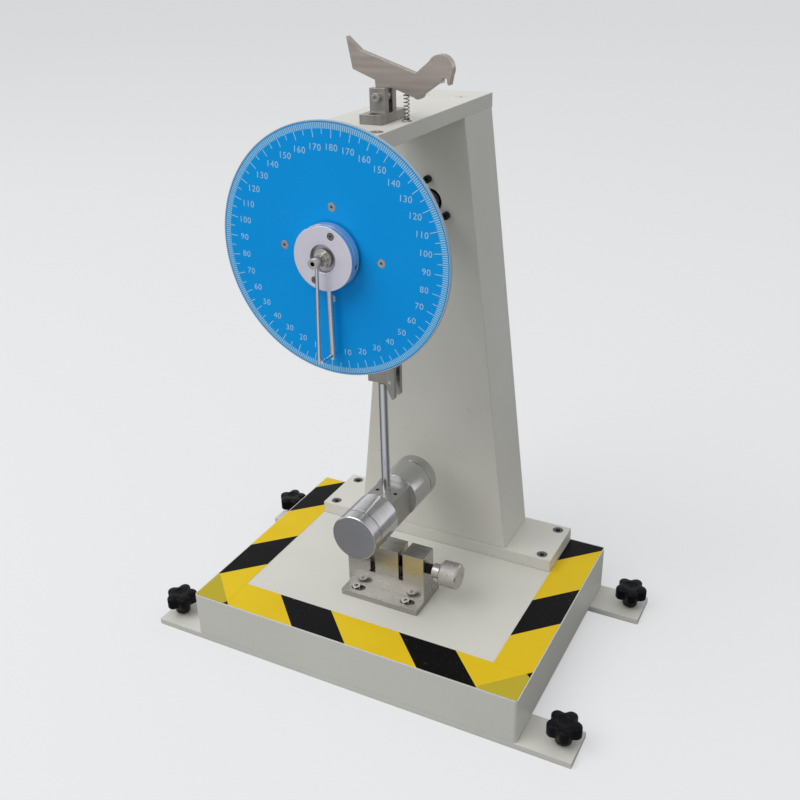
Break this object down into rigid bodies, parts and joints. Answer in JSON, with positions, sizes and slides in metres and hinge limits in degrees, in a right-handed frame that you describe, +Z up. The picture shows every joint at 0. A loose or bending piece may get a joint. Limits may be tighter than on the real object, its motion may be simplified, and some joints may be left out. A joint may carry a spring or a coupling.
{
  "type": "pendulum impact tester",
  "caption": "Bench pendulum impact tester: hammer on a rod swings past a dial with a follower pointer and strikes a specimen held in a screw vise; latch holds the raised hammer.",
  "frame": {"origin": "on the bench plane, under the middle of the machine's outer box", "axes": "+X to the right along the front edge, +Y to the back, +Z up; the pendulum swings in an X-Z plane"},
  "size_m": [0.444, 0.2624, 0.5672],
  "materials": {
    "white_paint": "semi-gloss",
    "black_steel": "black oxide",
    "bright_steel": "bright",
    "ground_steel": "ground",
    "aluminium": "turned",
    "dial_blue": "printed",
    "tape": "satin",
    "black_plastic": "satin"
  },
  "bodies": {
    "stand": {"base_tray": "white_paint", "backing_bars": "black_steel", "foot_bars": "white_paint", "hazard_tape": "tape", "column_foot_plate": "white_paint", "column_bolts": "black_steel", "column_shell": "white_paint", "column_head_block": "black_steel", "top_plate": "white_paint", "top_plate_screws": "bright_steel", "hanger_plate": "white_paint", "dial_flange": "aluminium", "dial_flange_screws": "black_steel", "bearing_outer_rings": "bright_steel", "rear_bearing_housing": "aluminium", "rear_bearing_screws": "black_steel", "rear_cover": "aluminium", "pointer_spindle": "bright_steel", "dial_plate": "dial_blue", "dial_screws": "bright_steel", "latch_bracket": "ground_steel", "latch_bracket_screws": "black_steel", "latch_pivot": "bright_steel", "latch_spring": "bright_steel", "spring_anchor": "bright_steel", "vise_body": "ground_steel", "vise_bolts": "bright_steel"},
    "pendulum": {"axle": "ground_steel", "bearing_inner_rings": "bright_steel", "pendulum_hub": "ground_steel", "pendulum_rod": "bright_steel", "catch_block": "ground_steel", "catch_pin": "bright_steel", "pendulum_set_screws": "black_steel", "hammer_centre": "ground_steel", "hammer_weights": "ground_steel", "hammer_end_caps": "ground_steel", "hammer_tie_rod": "black_steel", "hammer_clamp_screws": "black_steel", "drive_hub": "aluminium", "hub_cover": "aluminium", "hub_cover_screws": "bright_steel", "drive_arm": "bright_steel", "drive_pin": "bright_steel", "axle_nut": "bright_steel"},
    "pointer": {"pointer_hub": "aluminium", "pointer_rod": "bright_steel"},
    "latch": {"latch_lever": "ground_steel"},
    "jaw": {"vise_jaw": "ground_steel", "jaw_keeper_pin": "bright_steel"},
    "clamp_screw": {"vise_screw": "black_steel", "vise_knob": "ground_steel"},
    "front_left_foot": {"front_left_stud": "bright_steel"},
    "front_left_star": {"front_left_knob": "black_plastic"},
    "front_right_foot": {"front_right_stud": "bright_steel"},
    "front_right_star": {"front_right_knob": "black_plastic"},
    "rear_left_foot": {"rear_left_stud": "bright_steel"},
    "rear_left_star": {"rear_left_knob": "black_plastic"},
    "rear_right_foot": {"rear_right_stud": "bright_steel"},
    "rear_right_star": {"rear_right_knob": "black_plastic"}
  },
  "joints": [
    {"name": "pendulum_swing", "type": "hinge", "parent": "stand", "child": "pendulum", "pos_m": [0, -0.02925, 0.4175], "axis": [0, -1, 0], "range_deg": [-150, 148.3]},
    {"name": "pointer_swing", "type": "hinge", "parent": "stand", "child": "pointer", "pos_m": [0, -0.02925, 0.4175], "axis": [0, -1, 0], "range_deg": [-150, 0]},
    {"name": "latch_lift", "type": "hinge", "parent": "stand", "child": "latch", "pos_m": [0.0083, -0.02925, 0.5242], "axis": [0, -1, 0], "range_deg": [0, 28], "stiffness_Nm_per_rad": 0.02, "springref_deg": -28.65, "deforming": ["latch_spring"]},
    {"name": "jaw_slide", "type": "slide", "parent": "stand", "child": "jaw", "axis": [1, 0, 0], "range_m": [-0.005, 0.004]},
    {"name": "vise_screw_turn", "type": "hinge", "parent": "jaw", "child": "clamp_screw", "pos_m": [0.05, -0.02925, 0.091], "axis": [1, 0, 0], "range_deg": [-1205, 965]},
    {"name": "front_left_level", "type": "slide", "parent": "stand", "child": "front_left_foot", "axis": [0, 0, 1], "range_m": [-0.0015, 0.004]},
    {"name": "front_left_turn", "type": "hinge", "parent": "front_left_foot", "child": "front_left_star", "pos_m": [-0.206, -0.10075, 0.02], "axis": [0, 0, 1], "range_deg": [-436, 1156]},
    {"name": "front_right_level", "type": "slide", "parent": "stand", "child": "front_right_foot", "axis": [0, 0, 1], "range_m": [-0.0015, 0.004]},
    {"name": "front_right_turn", "type": "hinge", "parent": "front_right_foot", "child": "front_right_star", "pos_m": [0.206, -0.10075, 0.02], "axis": [0, 0, 1], "range_deg": [-436, 1156]},
    {"name": "rear_left_level", "type": "slide", "parent": "stand", "child": "rear_left_foot", "axis": [0, 0, 1], "range_m": [-0.0015, 0.004]},
    {"name": "rear_left_turn", "type": "hinge", "parent": "rear_left_foot", "child": "rear_left_star", "pos_m": [-0.206, 0.10925, 0.02], "axis": [0, 0, 1], "range_deg": [-436, 1156]},
    {"name": "rear_right_level", "type": "slide", "parent": "stand", "child": "rear_right_foot", "axis": [0, 0, 1], "range_m": [-0.0015, 0.004]},
    {"name": "rear_right_turn", "type": "hinge", "parent": "rear_right_foot", "child": "rear_right_star", "pos_m": [0.206, 0.10925, 0.02], "axis": [0, 0, 1], "range_deg": [-436, 1156]}
  ],
  "couplings": [
    {"joint": "vise_screw_turn", "follows": "jaw_slide", "rad_per_m": 4188.8},
    {"joint": "front_left_turn", "follows": "front_left_level", "rad_per_m": 5026.5},
    {"joint": "front_right_turn", "follows": "front_right_level", "rad_per_m": 5026.5},
    {"joint": "rear_left_turn", "follows": "rear_left_level", "rad_per_m": 5026.5},
    {"joint": "rear_right_turn", "follows": "rear_right_level", "rad_per_m": 5026.5}
  ]
}
